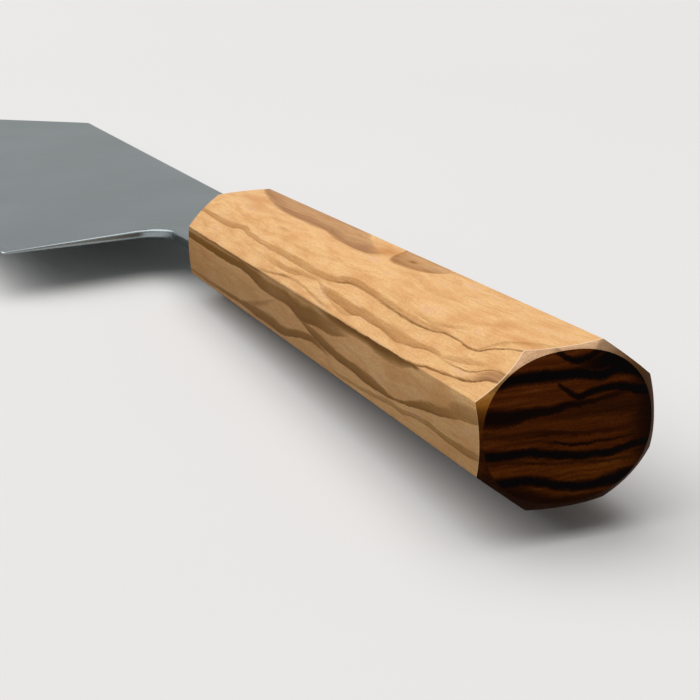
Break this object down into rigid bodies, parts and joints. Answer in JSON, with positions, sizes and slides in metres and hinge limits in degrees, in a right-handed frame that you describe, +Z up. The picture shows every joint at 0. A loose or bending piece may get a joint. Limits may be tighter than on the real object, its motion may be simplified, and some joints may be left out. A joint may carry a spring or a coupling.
{
  "type": "bunka knife",
  "caption": "Bunka kitchen knife with a wide blade, an angled tip and a tapered eight-sided olive-wood handle glued on a hidden tang.",
  "frame": {"origin": "under the middle of the knife's bounding box, at the level of its lowest point, the lower flat of the handle at the butt", "axes": "the knife lies on its side: +X runs along the handle's axis from the butt to the tip, +Y points to the cutting edge, and +Z is up, square to the blade's middle plane"},
  "size_m": [0.3068, 0.0526, 0.0213],
  "materials": {
    "steel": "fine satin, with polished spine, heel and choil",
    "wood": "oiled olive wood, smooth satin, with dark brown figure",
    "resin": "dark cured resin"
  },
  "bodies": {
    "root": {"blade": "steel", "handle": "wood", "tang_bedding": "resin"}
  },
  "joints": []
}
